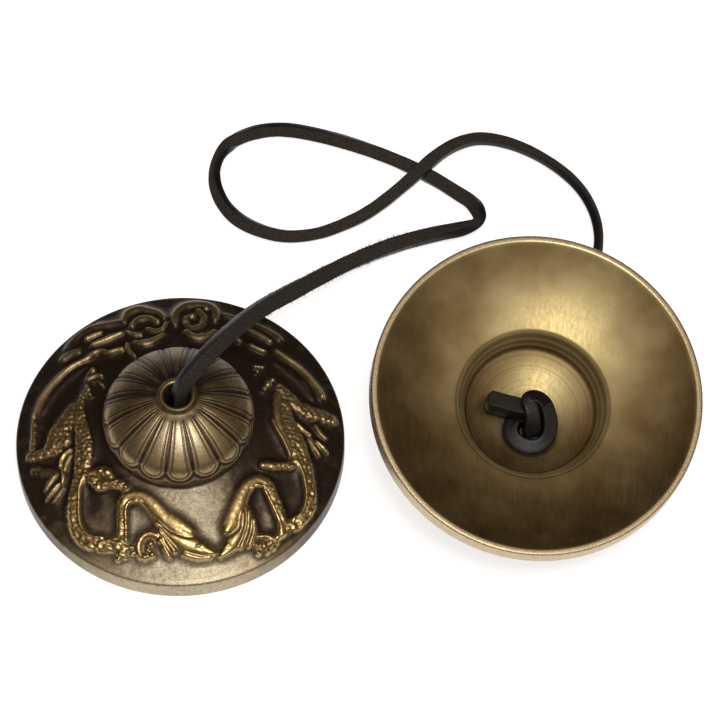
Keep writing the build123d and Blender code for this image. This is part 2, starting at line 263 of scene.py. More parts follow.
def evenly(line, step):
    """The same line with its points a step apart, and how far along it each one is."""
    steps = np.linalg.norm(np.diff(line, axis=0), axis=1)
    gone = np.concatenate([[0], np.cumsum(steps)])
    marks = np.linspace(0, gone[-1], int(gone[-1] / step) + 1)
    return np.column_stack([np.interp(marks, gone, line[:, k]) for k in range(3)]), marks


THONG_STEP = 0.4 * MM
thong_line, thong_marks = evenly(drawn_line("thong_line", ROUTE), THONG_STEP)
print("the thong is", round(1000 * thong_marks[-1], 1), "mm between the knots")

# %% [markdown]
# ## Cutting a lace
# A lace is a narrow strip cut from a hide. It has a smooth black grain side, a brown flesh side with
# a nap, and two cut edges. It twists as it goes, so the side that faces up changes. Each lace here is
# one rounded rectangle carried along its line, and the chosen facing says where its flesh side looks.

# %% Tools for a new piece
def pick(piece):
    """Selects one piece alone, as a click on it does."""
    bpy.ops.object.select_all(action="DESELECT")
    bpy.context.view_layer.objects.active = piece
    piece.select_set(True)


def new_piece(name, spots, edges, faces):
    """A piece made of points, edges and faces, picked for the next tool."""
    mesh = bpy.data.meshes.new(name)
    mesh.from_pydata([tuple(spot) for spot in spots], edges, faces)
    piece = bpy.data.objects.new(name, mesh)
    bpy.context.scene.collection.objects.link(piece)
    pick(piece)
    return piece


def note(piece, label, values):
    """Keeps one number for each point of a piece, for its finish to read."""
    kept = piece.data.attributes.get(label) or piece.data.attributes.new(label, "FLOAT", "POINT")
    kept.data.foreach_set("value", np.array(values, np.float32))


def face_outward():
    """Turns the faces of the picked piece outward."""
    bpy.ops.object.mode_set(mode="EDIT")
    bpy.ops.mesh.select_all(action="SELECT")
    bpy.ops.mesh.normals_make_consistent(inside=False)
    bpy.ops.object.mode_set(mode="OBJECT")


print("four tools lie ready")

# %% Cutting a lace
EDGE_ROUNDING = 0.42 * MM
rng = np.random.default_rng(7)


def unit(v):
    return v / np.linalg.norm(v, axis=-1, keepdims=True)


def wavering(marks, size, wave):
    """A slow random wander along a lace, as hand cutting leaves."""
    knots = np.arange(marks[0] - wave, marks[-1] + 2 * wave, wave)
    return np.interp(marks, knots, rng.normal(0, size, len(knots)))


def lace_section(width, thickness, corner):
    """One cut across a lace: how far across and how far through it each point lies."""
    a, b, c = width / 2, thickness / 2, corner
    turn = np.radians([0, 30, 60, 90])
    spots = []
    for sx, sy, start in ((1, 1, 0), (-1, 1, 90), (-1, -1, 180), (1, -1, 270)):
        for t in turn + math.radians(start):
            spots.append((sx * (a - c) + c * math.cos(t), sy * (b - c) + c * math.sin(t)))
        if start in (0, 180):
            for share in (0.5, 0.0, -0.5):
                spots.append((sx * share * (a - c), sy * b))
        else:
            spots.append((sx * a, 0.0))
    return spots


def lace_frame(line, facing):
    """Where a lace runs, where its flesh side looks and where its edge looks, at each point."""
    ahead = unit(np.gradient(line, axis=0))
    flesh = unit(facing - (facing * ahead).sum(1, keepdims=True) * ahead)
    return ahead, flesh, np.cross(ahead, flesh)


def cut_lace(name, line, facing, widths, thicknesses, grain_out=None):
    """A lace as a closed piece. What follows its line holds one value for each point of it."""
    _, flesh, aside = lace_frame(line, facing)
    if grain_out is None:
        grain_out = np.zeros(len(line), bool)
    corners, sides = [], []
    for i, (spot, up, out, wide, thick) in enumerate(zip(line, flesh, aside, widths, thicknesses)):
        side = -1 if grain_out[i] else 1
        for p, q in lace_section(wide, thick, min(EDGE_ROUNDING, 0.3 * thick)):
            corners.append(spot + out * p + up * q)
            sides.append(side * q / (thick / 2))
    around = len(corners) // len(line)
    faces = []
    for i in range(len(line) - 1):
        for j in range(around):
            a, b = i * around + j, i * around + (j + 1) % around
            faces.append((a, b, b + around, a + around))
    faces.append(tuple(reversed(range(around))))
    faces.append(tuple(range((len(line) - 1) * around, len(line) * around)))
    strip = new_piece(name, corners, [], faces)
    note(strip, "flesh", sides)
    face_outward()
    bpy.ops.object.shade_smooth_by_angle(angle=math.radians(50))
    return strip


print("a lace has", len(lace_section(3 * MM, 2 * MM, EDGE_ROUNDING)), "points round it")


# %% [markdown]
# ## The thong
# The lace is broad where it leaves the left boss and thins toward its other end. Its flesh side looks
# at the viewer first, turns over at the fold, faces the viewer again round the loop and rolls away
# in the arch. It is cut in three where its two bends begin.

# %% The thong's twist and width
# Each row: a point the lace passes, where its flesh side looks there, its width and its thickness.
STATIONS = [
    ((-35, 0, 14), (0.55, -0.75, 0.2), 3, 2),
    ((-35, 0, 21.5), (0.55, -0.75, 0.2), 3.4, 2),
    ((-33.3, 1.6, 25.5), (0.55, -0.7, 0.45), 3.5, 2),
    ((-25.2, 11.1, 26.7), (0.5, -0.62, 0.6), 3.4, 2),
    ((-13.7, 28.1, 14.5), (0.35, -0.5, 0.8), 3.4, 2),
    ((-1, 41.1, 4.5), (0.15, -0.3, 0.95), 3.1, 1.9),
    ((10, 47.2, 1.8), (0, 0.05, 1), 3.1, 1.9),
    ((21, 50, 1.6), (-0.12, 0.6, 0.78), 3.2, 2.3),
    ((25, 53.6, 1.6), (-0.9, 0.4, 0.2), 3.1, 2),
    ((22.6, 58.2, 1.3), (-0.45, -0.35, 0.85), 2.9, 1.7),
    ((14.7, 63.3, 1), (0, -0.15, 1), 2.8, 1.7),
    ((4.9, 68.4, 1.1), (0, -0.6, 0.8), 2.7, 1.8),
    ((-6.9, 72.5, 1.2), (0, -0.85, 0.4), 2.7, 1.9),
    ((-17.6, 74.2, 1.2), (-0.15, -0.9, 0.3), 2.7, 1.9),
    ((-29.2, 63, 1.2), (-0.9, -0.2, 0.35), 2.7, 1.9),
    ((-25.8, 54, 1.2), (-0.55, -0.7, 0.5), 2.8, 1.9),
    ((-16.6, 49.1, 1.2), (-0.05, -0.6, 0.8), 2.6, 1.8),
    ((-8.8, 49.2, 1.2), (0.05, -0.4, 0.9), 2.4, 1.7),
    ((3, 54, 2.5), (0.1, -0.2, 0.97), 2.6, 1.7),
    ((13.7, 63.1, 3.3), (0, -0.05, 1), 2.7, 1.7),
    ((26.1, 72, 1.3), (-0.1, 0.3, 0.95), 2.6, 1.8),
    ((37, 67.5, 1.2), (0.1, 0.4, 0.92), 2.2, 1.7),
    ((46.2, 58, 1.2), (0.65, 0.45, 0.6), 2.2, 1.8),
    ((48.8, 48, 1.2), (0.95, 0.15, 0.2), 2.1, 1.8),
    ((44.6, 33.5, 1.2), (0.7, -0.4, 0.6), 2, 1.7),
    ((36, 20, 1.2), (0.1, -0.1, 1), 2, 1.6),
    ((31.2, 9, 1.2), (0.2, 0, 0.98), 2, 1.5),
    ((32.8, 3.9, 2), (0.6, 0.75, 0.1), 2, 1.5),
    ((33.6, 2.3, 10.2), (0.6, 0.75, 0.1), 2, 1.5),
]
passed = []
for spot, *_ in STATIONS:
    start = passed[-1] + 8 if passed else 0
    gaps = np.linalg.norm(thong_line[start:start + 120] - np.array(spot) * MM, axis=1)
    passed.append(start + int(gaps.argmin()))
station_marks = thong_marks[passed]
facings = np.array([row[1] for row in STATIONS])
thong_facing = unit(np.column_stack([np.interp(thong_marks, station_marks, part)
                                     for part in facings.T]))
thong_width = np.interp(thong_marks, station_marks, [row[2] * MM for row in STATIONS])
thong_thickness = np.interp(thong_marks, station_marks, [row[3] * MM for row in STATIONS])
thong_width = thong_width * (1 + wavering(thong_marks, 0.018, 2.2 * MM))
thong_thickness = thong_thickness * (1 + wavering(thong_marks, 0.018, 3 * MM))
print("the thong is", round(1000 * thong_width.max(), 2), "mm wide at most")

# %% The thong's three lengths
LEFT_SPLIT = np.array((-25.2, 11.1, 26.7)) * MM
RIGHT_SPLIT = np.array((32.6, 14.3, 1.25)) * MM
first = int(np.linalg.norm(thong_line - LEFT_SPLIT, axis=1).argmin())
last = int(np.linalg.norm(thong_line - RIGHT_SPLIT, axis=1).argmin())


def thong_length(name, begin, end):
    part = slice(begin, end + 1)
    return cut_lace(name, thong_line[part], thong_facing[part], thong_width[part],
                    thong_thickness[part])


left_bend = thong_length("lace_left_bend", 0, first)
lace = thong_length("lace", first, last)
right_bend = thong_length("lace_right_bend", last, len(thong_line) - 1)
print("the lace is cut:", first, last, len(thong_line))

# %% The torn fibres along the edge
# The knife has left fibres standing along the lace's edges, most of all on the stretch to the fold.
FIBRES = 260
FIBRE_HALF = 0.07
LAST_FIBRE = np.array((17.0, 49.2, 1.6)) * MM
fibre_start = first + 10
fibre_end = int(np.linalg.norm(thong_line - LAST_FIBRE, axis=1).argmin())
ahead, flesh, aside = lace_frame(thong_line, thong_facing)
fibre_corners, fibre_faces = [], []
for i in rng.integers(fibre_start, fibre_end, FIBRES):
    edge = rng.choice((-1, 1), p=(0.75, 0.25))
    root = (thong_line[i] + 0.47 * edge * thong_width[i] * aside[i]
            + rng.uniform(-0.1, 0.42) * thong_thickness[i] * flesh[i])
    way = unit(edge * aside[i] + rng.normal(0.1, 0.5) * flesh[i] + rng.normal(0, 0.7) * ahead[i])
    reach = rng.uniform(0.3, 1.1) * MM
    base = len(fibre_corners)
    for offset in (FIBRE_HALF * ahead[i], FIBRE_HALF * flesh[i],
                   -FIBRE_HALF * ahead[i] - 0.03 * flesh[i]):
        fibre_corners.append(root + offset * MM)
    fibre_corners.append(root + way * reach)
    fibre_faces += [(base + a, base + b, base + c)
                    for a, b, c in ((0, 1, 2), (0, 3, 1), (1, 3, 2), (2, 3, 0))]
fibres = new_piece("fibres", fibre_corners, [], fibre_faces)
note(fibres, "flesh", np.ones(len(fibre_corners)))
pick(lace)
fibres.select_set(True)
bpy.ops.object.join()
face_outward()
print("the lace has", len(fibre_faces) // 4, "fibres")

# %% [markdown]
# ## The knots
# Each end is stopped by an overhand knot. The lace comes up through the hole, runs once round itself
# and goes out under its own turn, so a ring, a bridge and a short cut tail show. One knot is tied
# point by point and laid in both bosses.

# %% The knots
# The right cymbal's axis, from the boss it lies on to its open side.
LEAN = Vector((0.09712, -0.199126, 0.975149))
# Each point: how far right, back and up from the hole's inner edge, in the cup's own frame.
KNOT_LINE = [
    (0.2, 0.5, -2), (-0.9, -1, 0.9), (-3, -1.7, 1.2), (-3.7, -3.6, 1.2), (-3, -5.6, 1.2),
    (-1, -6.9, 1.3), (1.4, -7, 1.4), (3.3, -5.6, 1.8), (3.9, -3.4, 2.6), (3.4, -0.8, 3.7),
    (2.3, 1.3, 4.5), (0.5, 2, 4.9), (-0.8, 1.4, 4.9), (0, -0.5, 4.9), (0.4, -2.5, 3.9),
    (0.4, -3.9, 2.3), (0.5, -4.2, 1.1), (1.4, -3.5, 0.9), (2.2, -1.7, 1.2), (1.7, -0.2, 2.1),
    (0, -0.2, 3), (-2, 0.2, 3.1), (-4.4, 0.7, 3.1), (-6.8, 1.3, 3.1), (-8.7, 1.7, 3.2),
]
KNOT_STEP = 0.3 * MM
# Over this stretch of its length the lace leaves the knot and swells into its tail.
TAIL = (0.030, 0.036)
TAIL_ROUNDING = 1.1 * MM
FINGERED = 0.77
knot_line, knot_marks = evenly(drawn_line("knot_line", KNOT_LINE), KNOT_STEP)
knot_centre = np.array((0.3, -2.4, -5.0)) * MM
knot_facing = unit(knot_line - knot_centre + np.array((0, 0.4, 1)) * 4 * MM)
to_end = ((knot_marks[-1] - knot_marks) / TAIL_ROUNDING).clip(0, 1)
blunt = np.sqrt(1 - 0.7 * (1 - to_end)**2)
knot_width = np.interp(knot_marks, TAIL, (3.1 * MM, 3.6 * MM))
knot_width = knot_width * (1 + wavering(knot_marks, 0.03, 2 * MM)) * blunt
knot_thickness = np.interp(knot_marks, TAIL, (2.3 * MM, 3.0 * MM)) * blunt
share = knot_marks / knot_marks[-1]
black_out = (share < 0.34) | ((share > 0.47) & (share < 0.70))
right_knot = cut_lace("knot_right", knot_line, knot_facing, knot_width, knot_thickness, black_out)
# The knots are darker than the rest, from fingers.
fingered = np.empty(len(right_knot.data.vertices), np.float32)
right_knot.data.attributes["flesh"].data.foreach_get("value", fingered)
note(right_knot, "flesh", FINGERED * fingered)
bpy.ops.object.duplicate()
left_knot = bpy.context.object
left_knot.name = "knot_left"
across = (Vector((1, 0, 0)) - LEAN.x * LEAN).normalized()
stand = Matrix((across, LEAN.cross(across), LEAN)).transposed().to_4x4()
right_knot.data.transform(Matrix.Translation(Vector(RIGHT_HOLE) * MM) @ stand)
upside_down = Matrix.Rotation(math.pi, 4, "X")
left_knot.data.transform(Matrix.Translation(Vector(LEFT_HOLE) * MM) @ upside_down)
print("two knots are tied")

# %% [markdown]
# ## The casting's outline
# Both cymbals are cast from one pattern and the inside is turned clean on a lathe. Half of the cut
# through the middle is drawn once and spun round the axis. The outside is spun in many fine steps,
# because the carving needs them, and the plain inside in fewer. The two shells are then joined at the
# rim and in the hole.

# %% The casting's outline
FOOT_RADIUS, FOOT_HEIGHT = 14.230, 11.3
RIM_RADIUS, RIM_HEIGHT = 32.5, 4.5
BELT, BELT_RADIUS, BELT_END = (9.9, 13.8), 5, 30
CROWN, CROWN_RADIUS = (0.0, 2.531), 20
COLLAR, COLLAR_ROUNDING, COLLAR_FOOT = (3.2, 22.167), 0.6, 3.8
HOLE_RADIUS = 2.6


def arc(centre, radius, start, end, count):
    """Points of an arc, with angles in degrees."""
    return [(centre[0] + radius * math.cos(t), centre[1] + radius * math.sin(t))
            for t in np.radians(np.linspace(start, end, count))]


def run(a, b, count):
    """Points of a straight stretch without its last one."""
    return [(a[0] + (b[0] - a[0]) * t, a[1] + (b[1] - a[1]) * t)
            for t in np.linspace(0, 1, count, endpoint=False)]


shoulder = math.degrees(math.atan2(BELT[1] - CROWN[1], BELT[0]))
collar_edge = math.degrees(math.acos(COLLAR_FOOT / CROWN_RADIUS))
outside = arc(COLLAR, COLLAR_ROUNDING, 180, 12, 8)
outside += arc(CROWN, CROWN_RADIUS, collar_edge, shoulder, 20)[:-1]
outside += arc(BELT, BELT_RADIUS, shoulder, -BELT_END, 26)[:-1]
outside += run((FOOT_RADIUS, FOOT_HEIGHT), (31.75, 4.78), 86)
outside += arc((31.78, 3.98), 0.72, 70, 0, 6)
outside += run((RIM_RADIUS, 3.3), (RIM_RADIUS, 0.5), 3) + arc((32.1, 0.4), 0.4, 0, -90, 5)
outside += [(31.5, 0.0)]
# The dish is hollowed a little between the rim and the cup, and its lip steps down in three rings.
DISH_EDGE, DISH_RUN, DISH_RISE, DISH_SAG = 31.3, 16.2, 6.436, 0.8
shares = (DISH_EDGE - np.linspace(30.6, 15.5, 16)) / DISH_RUN
inside = [(DISH_EDGE, 0.04), (31.1, 0.12)]
inside += [(DISH_EDGE - DISH_RUN * t, DISH_RISE * t + 4 * DISH_SAG * t * (1 - t)) for t in shares]
inside += [(15.25, 6.42), (15.05, 6.55)]
inside += [(14.6, 6.72), (14.42, 6.95), (14.25, 8.05), (14.13, 8.25), (13.8, 8.4), (13.68, 8.6),
           (13.54, 9.6), (13.42, 9.82), (13.2, 9.95), (13.1, 10.2), (13.02, 11.1)]
BOWL = 32.0
BOWL_CENTRE = LEFT_HOLE[2] - math.sqrt(BOWL**2 - HOLE_RADIUS**2)
inside += [(r, BOWL_CENTRE + math.sqrt(BOWL**2 - r**2)) for r in np.linspace(12.9, 2.9, 24)]
inside += [(2.7, 14.0), (HOLE_RADIUS, 14.25)]
print("the outline has", len(outside), "points outside and", len(inside), "inside")

# %% The casting on the lathe
def turned(name, points, steps):
    """A shell: an outline spun once round the upright axis."""
    edges = [(i, i + 1) for i in range(len(points) - 1)]
    shell = new_piece(name, [(r * MM, 0, z * MM) for r, z in points], edges, [])
    bpy.ops.object.mode_set(mode="EDIT")
    bpy.ops.mesh.select_all(action="SELECT")
    bpy.ops.mesh.spin(steps=steps, angle=2 * math.pi, center=(0, 0, 0), axis=(0, 0, 1))
    bpy.ops.mesh.select_all(action="SELECT")
    bpy.ops.mesh.remove_doubles(threshold=1e-6)
    bpy.ops.object.mode_set(mode="OBJECT")
    return shell


def close_gap(shell, near, far):
    """Bridges the two open edges whose distance from the axis lies between near and far."""
    bpy.ops.object.mode_set(mode="EDIT")
    bpy.ops.mesh.select_mode(type="EDGE")
    bpy.ops.mesh.select_all(action="DESELECT")
    bpy.ops.mesh.select_non_manifold()
    bpy.ops.object.mode_set(mode="OBJECT")
    spots = np.array([v.co for v in shell.data.vertices])
    away = np.hypot(spots[:, 0], spots[:, 1])
    for edge in shell.data.edges:
        edge.select = bool(edge.select and near < away[edge.vertices[0]] < far)
    bpy.ops.object.mode_set(mode="EDIT")
    bpy.ops.mesh.bridge_edge_loops()
    bpy.ops.object.mode_set(mode="OBJECT")


OUTSIDE_STEPS, INSIDE_STEPS = 560, 200
carved_brass = bpy.data.materials.new("carved_brass")
turned_brass = bpy.data.materials.new("turned_brass")
inner = turned("inside_shell", inside, INSIDE_STEPS)
inner.data.materials.append(turned_brass)
casting = turned("cymbal_left", outside, OUTSIDE_STEPS)
casting.data.materials.append(carved_brass)
inner.select_set(True)
bpy.ops.object.join()
close_gap(casting, 0.030, 0.033)
close_gap(casting, 0.002, 0.003)
face_outward()
bpy.ops.object.shade_smooth()
print("the casting has", len(casting.data.polygons), "faces")

# %% [markdown]
# ## The carving
# Two dragons face each other on the plate, with their necks arched, their scaly bodies looping along
# the rim and their tails meeting in clouds at the back. A pattern maker lays such a figure up in wax:
# rolls for the bodies, thin wires for the crests, beads for the scales and drops for the toes. Here
# each roll, wire or drop is laid on a flat board in plan, the highest one wins, and the board is then
# wrapped on the plate.

# %% The carver's board
BOARD_STEP = 0.1
BOARD_HALF = 33.0
ruler = np.arange(-BOARD_HALF, BOARD_HALF + BOARD_STEP / 2, BOARD_STEP)
board_x, board_y = np.meshgrid(ruler, ruler)
relief = np.zeros_like(board_x)


def smooth_line(points, step):
    """A smooth line through a few points, as close points."""
    p = np.array(points, float)
    p = np.vstack([2 * p[0] - p[1], p, 2 * p[-1] - p[-2]])
    pieces = []
    for a, b, c, d in zip(p, p[1:], p[2:], p[3:]):
        count = max(2, int(np.linalg.norm(c - b) / step))
        t = np.linspace(0, 1, count, endpoint=False)[:, None]
        pieces.append(0.5 * (2 * b + (c - a) * t + (2 * a - 5 * b + 4 * c - d) * t**2
                             + (3 * b - a - 3 * c + d) * t**3))
    return np.vstack(pieces + [p[-2:-1]])


def beside(line, reach):
    """For each place on the board: how far from the line and how far along it. Then its length."""
    gap = np.full_like(relief, 1e3)
    along = np.zeros_like(relief)
    gone = 0.0
    for a, b in zip(line, line[1:]):
        low = np.floor((np.minimum(a, b) - reach + BOARD_HALF) / BOARD_STEP)
        high = np.ceil((np.maximum(a, b) + reach + BOARD_HALF) / BOARD_STEP)
        low, high = np.array((low, high)).astype(int).clip(0, len(ruler))
        spot = (slice(low[1], high[1]), slice(low[0], high[0]))
        step = b - a
        size = np.hypot(*step)
        dx, dy = board_x[spot] - a[0], board_y[spot] - a[1]
        share = ((dx * step[0] + dy * step[1]) / size**2).clip(0, 1)
        away = np.hypot(dx - share * step[0], dy - share * step[1])
        closer = away < gap[spot]
        gap[spot] = np.where(closer, away, gap[spot])
        along[spot] = np.where(closer, gone + share * size, along[spot])
        gone += size
    return gap, along, gone


print("the board has", relief.size, "places")


# %% Beads for the scales
def beads(size):
    """Close-set beads of uneven places, from 0 between them to 1 on top."""
    count = int(2 * BOARD_HALF / size) + 4
    shift = rng.uniform(-0.3, 0.3, (count, count, 2))
    row = np.floor((board_y + BOARD_HALF) / size).astype(int) + 1
    nearest = np.full_like(board_x, 9.0)
    for dr in (-1, 0, 1):
        lean = 0.5 * ((row + dr) % 2)
        column = np.floor((board_x + BOARD_HALF) / size - lean).astype(int) + 1
        for dc in (-1, 0, 1):
            r, c = (row + dr).clip(0, count - 1), (column + dc).clip(0, count - 1)
            middle_x = (c - 0.5 + lean + shift[r, c, 0]) * size - BOARD_HALF
            middle_y = (r - 0.5 + shift[r, c, 1]) * size - BOARD_HALF
            nearest = np.minimum(nearest, np.hypot(board_x - middle_x, board_y - middle_y) / size)
    return np.sqrt(np.maximum(0, 1 - (nearest / 0.62)**2))


SCALES = beads(0.85)
print("the beads reach from", round(SCALES.min(), 2), "to", round(SCALES.max(), 2))

# %% Rolls, grooves and drops
WAX_STEP = 0.3


def roll(points, height, *halves, scaly=0.0, flat=2.0):
    """Lays a roll of wax along a line. Halves are its half widths from start to end."""
    line = smooth_line(points, WAX_STEP)
    gap, along, length = beside(line, max(halves) + WAX_STEP)
    halves = halves if len(halves) > 1 else halves * 2
    half = np.interp(along, np.linspace(0, length, len(halves)), halves)
    share = np.minimum(gap / half, 1)
    body = height * np.sqrt(1 - share**flat) + scaly * (SCALES - 0.55) * (share < 0.95)
    np.copyto(relief, np.maximum(relief, body), where=share < 1)


def limb(points, height, scaly, *halves):
    """Lays a scaly roll with a flat back."""
    roll(points, height, *halves, scaly=scaly, flat=3)


def score(points, depth, half):
    """Draws a groove along a line."""
    gap = beside(smooth_line(points, WAX_STEP), 3 * half)[0]
    relief[:] = relief - depth * np.exp(-(gap / half)**2)


def drops(height, *places):
    """Sets round drops of wax, each given as x, y and radius."""
    for x, y, size in places:
        share = np.minimum(np.hypot(board_x - x, board_y - y) / size, 1)
        np.copyto(relief, np.maximum(relief, height * np.sqrt(1 - share**2)), where=share < 1)


print("the wax is laid every", WAX_STEP, "mm")

# %% The left dragon's body
# The trunk beside the boss, the loop along the rim and the bright crest on its inner edge.
TRUNK = [(-18.1, 8.6), (-19, 6.4), (-19.5, 4), (-19.2, 1), (-18.7, -2), (-18.4, -5), (-18.6, -8),
         (-18.9, -10.5)]
limb(TRUNK, 1.1, 0.45, 0.7, 1, 1.4, 1.9, 2, 1.7)
limb([(-18.9, -10), (-19.9, -13.5), (-20.3, -16.5), (-20, -19.5), (-18.9, -22), (-16.9, -23.6),
      (-14.3, -24.3), (-11.4, -24.5)], 1.1, 0.5, 1.6, 1.4, 1.45, 1.6, 1.7, 1.6)
roll([(-18.1, -10.4), (-18.9, -12.5), (-19.1, -15), (-19.1, -17.5), (-18.8, -19.8), (-17.9, -21.6),
      (-16.3, -22.6), (-14.4, -22.9)], 1.45, 0.35, 0.38, 0.3)
# The haunch, the leg that reaches the rim and the strip that rises from its foot.
limb([(-25.2, -4), (-23.6, -1.2), (-22.2, 1.8), (-20.8, 4.8)], 1.15, 0.5, 1.6, 2.5, 2.1, 1)
limb([(-29, -4.9), (-26.6, -4.7), (-24.2, -4.1), (-22.4, -2.6)], 0.95, 0.45, 1.2, 1.5, 1.5)
roll([(-28.7, 3.6), (-28.7, 0.6), (-28.8, -2.4), (-28.8, -5.4)], 0.8, 0.65, 0.75, scaly=0.4)
limb([(-28, -8), (-26, -8.6), (-24.2, -9.2)], 0.6, 0.35, 1.2, 1.4, 1)
# The tail: a bright ridge that arches to the back, with a soft flank inside it.
roll([(-27.4, 5), (-26.2, 7.6), (-24.6, 9.9), (-22.8, 11.9), (-20.6, 13.4), (-18.6, 14.2)], 0.55, 0.9,
     1.1, 1.1, 0.6)
roll([(-28.7, 3.8), (-28.1, 5.6), (-27.3, 7.7), (-26, 9.8), (-24.6, 11.6), (-23, 13.3), (-21.6, 14.5),
      (-19.8, 15.4), (-18.2, 16.1), (-17.2, 17.2), (-15.8, 17.6), (-14.2, 16.9), (-12.6, 17.3),
      (-11.6, 17.4)], 1.35, 0.5, 0.62, 0.62, 0.55, 0.6)
print("the left dragon's body stands", round(relief.max(), 2), "mm high")

# %% The left dragon's feet
roll([(-21, -4.8), (-22.2, -5.6), (-22.9, -6.8), (-23, -8)], 1.35, 0.45, 0.5, 0.35)
roll([(-21.2, -6), (-21.9, -7.2), (-22.2, -8.6)], 1, 0.9, 0.8)
roll([(-22.4, -9.4), (-22.3, -10.5), (-22.6, -11.6)], 1.3, 0.45, 0.5, 0.3)
roll([(-23.3, -11.5), (-24.5, -12.9), (-25.7, -14.5)], 1.25, 0.5, 0.55, 0.3)
roll([(-22.6, -12.4), (-23.4, -13.6), (-24.4, -15)], 0.8, 0.8, 0.8, 0.4)
roll([(-24.2, -9.6), (-25.2, -11), (-26, -12.4)], 0.9, 0.6, 0.6, 0.35)
limb([(-18, -10.2), (-16.4, -11.8), (-15, -13), (-13.2, -12.9), (-11.6, -13), (-10.2, -13.8)], 1.15,
     0.4, 1.2, 1.15, 1)
roll([(-17.2, -10.6), (-15.4, -10), (-13.8, -10.3), (-13, -11.6)], 1.1, 1, 1.15, 0.9)
drops(1.35, (-16.6, -11.3, 0.8), (-15.1, -10.2, 0.75), (-13.8, -10.6, 1.1), (-15.5, -13.5, 0.75),
      (-14.1, -12.6, 0.8), (-12.5, -12.7, 0.75), (-11.3, -13.1, 0.7))
# The paw by the boss.
roll([(-17.3, 13.2), (-18.2, 11.4), (-18.4, 9.4), (-18, 7.4)], 0.9, 0.8, 0.9, 0.8)
roll([(-18, 10.6), (-16.7, 11.2), (-15.3, 11)], 1.25, 0.5, 0.55, 0.4)
roll([(-17.2, 9.9), (-15.9, 9.7), (-15.2, 8.8)], 0.9, 0.6, 0.5)
drops(1.3, (-17.2, 12.8, 0.75), (-17.8, 8.1, 0.6), (-17.5, 6.8, 0.55), (-18.5, 2.2, 0.5))
print("the left dragon has its feet")

# %% The left dragon's neck and head
limb([(-10.6, -26), (-10.8, -22), (-10.8, -19), (-10.7, -16.8), (-10.2, -15.6)], 1.1, 0.4, 1, 1.05)
roll([(-10.6, -17), (-9.8, -15.7), (-8, -15.5), (-6.2, -16.3), (-4.6, -17.7), (-3, -19.5),
      (-1.4, -21.1), (0.4, -22.5)], 1.25, 1, 1.2, 1.5, 1.75, 1.95, 2.2, 2.3)
roll([(-9.8, -24), (-9.9, -21), (-9.9, -18.4), (-9.4, -16.9), (-8, -16.6), (-6.8, -16.9)], 1.4, 0.4,
     scaly=0.3)
# The neck ends in a blunt horn. Below a deep slit lie the skull, the snout, the jaw and the eye.
roll([(-1.6, -20.6), (0.6, -21.6), (2.4, -22.4)], 1.3, 2.1, 1.9, 1.3)
roll([(-0.6, -23.4), (2, -24.6), (4.8, -25.7), (6.9, -26.3)], 1.5, 1.5, 2.1, 1.8, 0.9, flat=2.4)
roll([(1.4, -26.6), (4, -27.2), (6.4, -27)], 1.25, 0.8, 0.85, 0.6)
# The mane: strands with dark lines between them.
for strand in ([(-3.9, -20.8), (-1.9, -22.9), (0.2, -24.5)],
               [(-3.3, -22.2), (-1.9, -24.2), (-0.4, -26.2)],
               [(-2.9, -23.6), (-2.2, -25.6), (-1.4, -27.2)]):
    roll(strand, 1.45, 0.7, 0.95, 0.6)
score([(-4.2, -19.8), (-2.6, -21.4), (-0.6, -22.7), (1.2, -23.4), (2.8, -23.7)], 0.7, 0.19)
score([(-3.4, -21.7), (-1.8, -23.6), (-0.2, -25.4)], 0.5, 0.16)
score([(-3, -23.2), (-2, -25.2), (-1, -26.9)], 0.5, 0.16)
score([(7.2, -26.9), (5, -26.9), (2.6, -26.4)], 0.45, 0.17)
drops(2.1, (4.1, -25.4, 0.75))
score([(4, -25.5), (4.3, -25.5)], 0.7, 0.25)
# The curled claw under the chin and the toes beside it.
roll([(-7, -27), (-7.5, -25.2), (-6.8, -23.5), (-5.4, -22.8), (-4, -23.2)], 1.3, 0.8, 0.95, 0.8)
drops(1.5, (-5.1, -24.7, 1), (-3.2, -24.1, 0.95), (-6.2, -27.1, 0.95), (-4.8, -26.7, 0.95),
      (-5.6, -25.8, 0.6))
drops(1.2, (-11, -26.3, 0.9), (-10, -25.4, 0.7), (-11.4, -27.3, 0.65), (-10, -27, 0.6),
      (-9, -25.2, 0.6), (-8.6, -26.3, 0.6))
print("the left dragon has its head")

# %% The right dragon's body
limb([(20.4, 5), (21, 2), (22, -1.5), (23.2, -4.5), (24.4, -7.5), (25.2, -10.5), (25.6, -13.5),
      (25.2, -16.5), (23.8, -18.9), (21.4, -20.3)], 1.1, 0.5, 1.2, 1.6, 2.3, 2.3, 1.9, 1.6, 1.4, 1.5,
     1.6, 1.4)
roll([(22.9, -7), (23.8, -8.8), (24.3, -10.6), (24.7, -13), (24.5, -15.5), (23.7, -17.4),
      (22.2, -18.6)], 1.45, 0.3, 0.38, 0.3)
roll([(18.9, 7), (19, 4), (19.5, 1), (20.2, -1.4), (21.2, -3.6), (21.8, -5.4)], 1.2, 0.9, 1.1, 1.25,
     1.2, 0.9, 0.5)
roll([(18, 1), (18.9, -1), (20, -2.8), (20.8, -4.4), (21.5, -6.2)], 1.4, 0.3, 0.38, 0.3)
limb([(30, 3.3), (27.5, 4), (25, 4.5), (22.4, 5.6)], 1, 0.5, 1.2, 1.6, 1.7, 1.5)
limb([(19.4, 8.8), (21.2, 7), (23.2, 5)], 1.15, 0.45, 1.1, 1.5, 1.2)
roll([(26.2, 8), (24.8, 10.2), (23, 12.2), (20.8, 14), (18.6, 15.4)], 0.55, 0.8, 1.1, 1.1, 0.6)
roll([(27.9, 8.4), (27.2, 9.8), (25.8, 11.8), (24, 14), (22, 15.6), (20.2, 16.8), (18.6, 18)], 1.35,
     0.75, 0.6, 0.6, 0.5)
